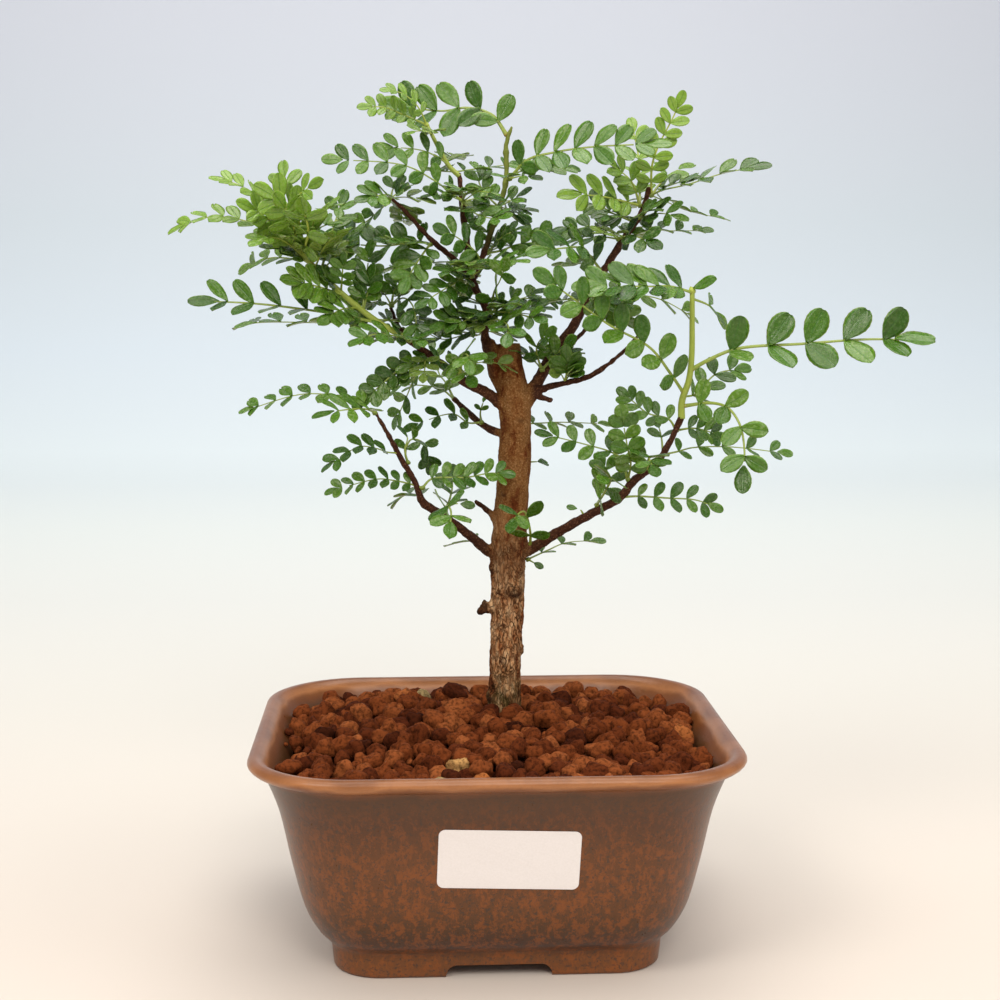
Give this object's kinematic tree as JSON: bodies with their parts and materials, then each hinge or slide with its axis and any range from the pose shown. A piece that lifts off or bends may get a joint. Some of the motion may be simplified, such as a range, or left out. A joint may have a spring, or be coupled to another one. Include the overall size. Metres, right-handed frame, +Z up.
{
  "type": "chinese pepper bonsai",
  "caption": "Small bonsai tree with sawn trunk, thin branches and pinnate leaves in clay granules, standing in a rounded rectangular glazed pot with cut-out feet.",
  "frame": {"origin": "middle of the whole object's footprint, on the surface that the pot stands on", "axes": "+Z up, +X to the right and +Y away from someone who faces the front with the label; the pot's sides are square to X and Y"},
  "size_m": [0.2442, 0.136, 0.2764],
  "materials": {
    "glazed_stoneware": "satin brown glaze",
    "clay_granules": "matt fired clay",
    "bark": "finely fissured bark",
    "paper_label": "smooth white paper",
    "leaves": "glossy leaf"
  },
  "bodies": {
    "root": {"pot": "glazed_stoneware", "soil": "clay_granules", "label": "paper_label", "trunk": "bark", "left_shoot": "leaves", "tuft_d_twig": "leaves", "tuft_d_middle": "leaves", "tuft_d_front": "leaves", "tuft_d_tip": "leaves", "tuft_a_low": "leaves", "tuft_a_left": "leaves", "tuft_a_middle": "leaves", "crown_shoot": "leaves", "tuft_a_upper": "leaves", "tuft_c_tip": "leaves", "tuft_c_middle": "leaves", "tuft_b_top": "leaves", "tuft_b_upper": "leaves", "tuft_b_low": "leaves", "tuft_b_base": "leaves", "tuft_h_low": "leaves", "tuft_i": "leaves", "tuft_h_behind": "leaves", "tuft_h_upper": "leaves", "tuft_h_high": "leaves", "tuft_h_seven": "leaves", "tuft_h_tip_left": "leaves", "tuft_h_tip_right": "leaves", "tuft_g_base": "leaves", "tuft_g_sprout": "leaves", "tuft_g_one": "leaves", "tuft_g_two": "leaves", "tuft_g_three": "leaves", "tuft_g_four": "leaves", "tuft_g_five": "leaves", "tuft_g_six": "leaves", "right_shoot": "leaves", "tuft_junction": "leaves", "tuft_trunk_small": "leaves", "tuft_trunk_behind": "leaves", "tuft_f_middle": "leaves", "tuft_f_tip": "leaves", "tuft_e_one": "leaves", "tuft_e_two": "leaves", "tuft_e_three": "leaves", "tuft_e_four": "leaves", "tuft_e_five": "leaves", "tuft_e_tip": "leaves", "tuft_e_low": "leaves"}
  },
  "joints": []
}
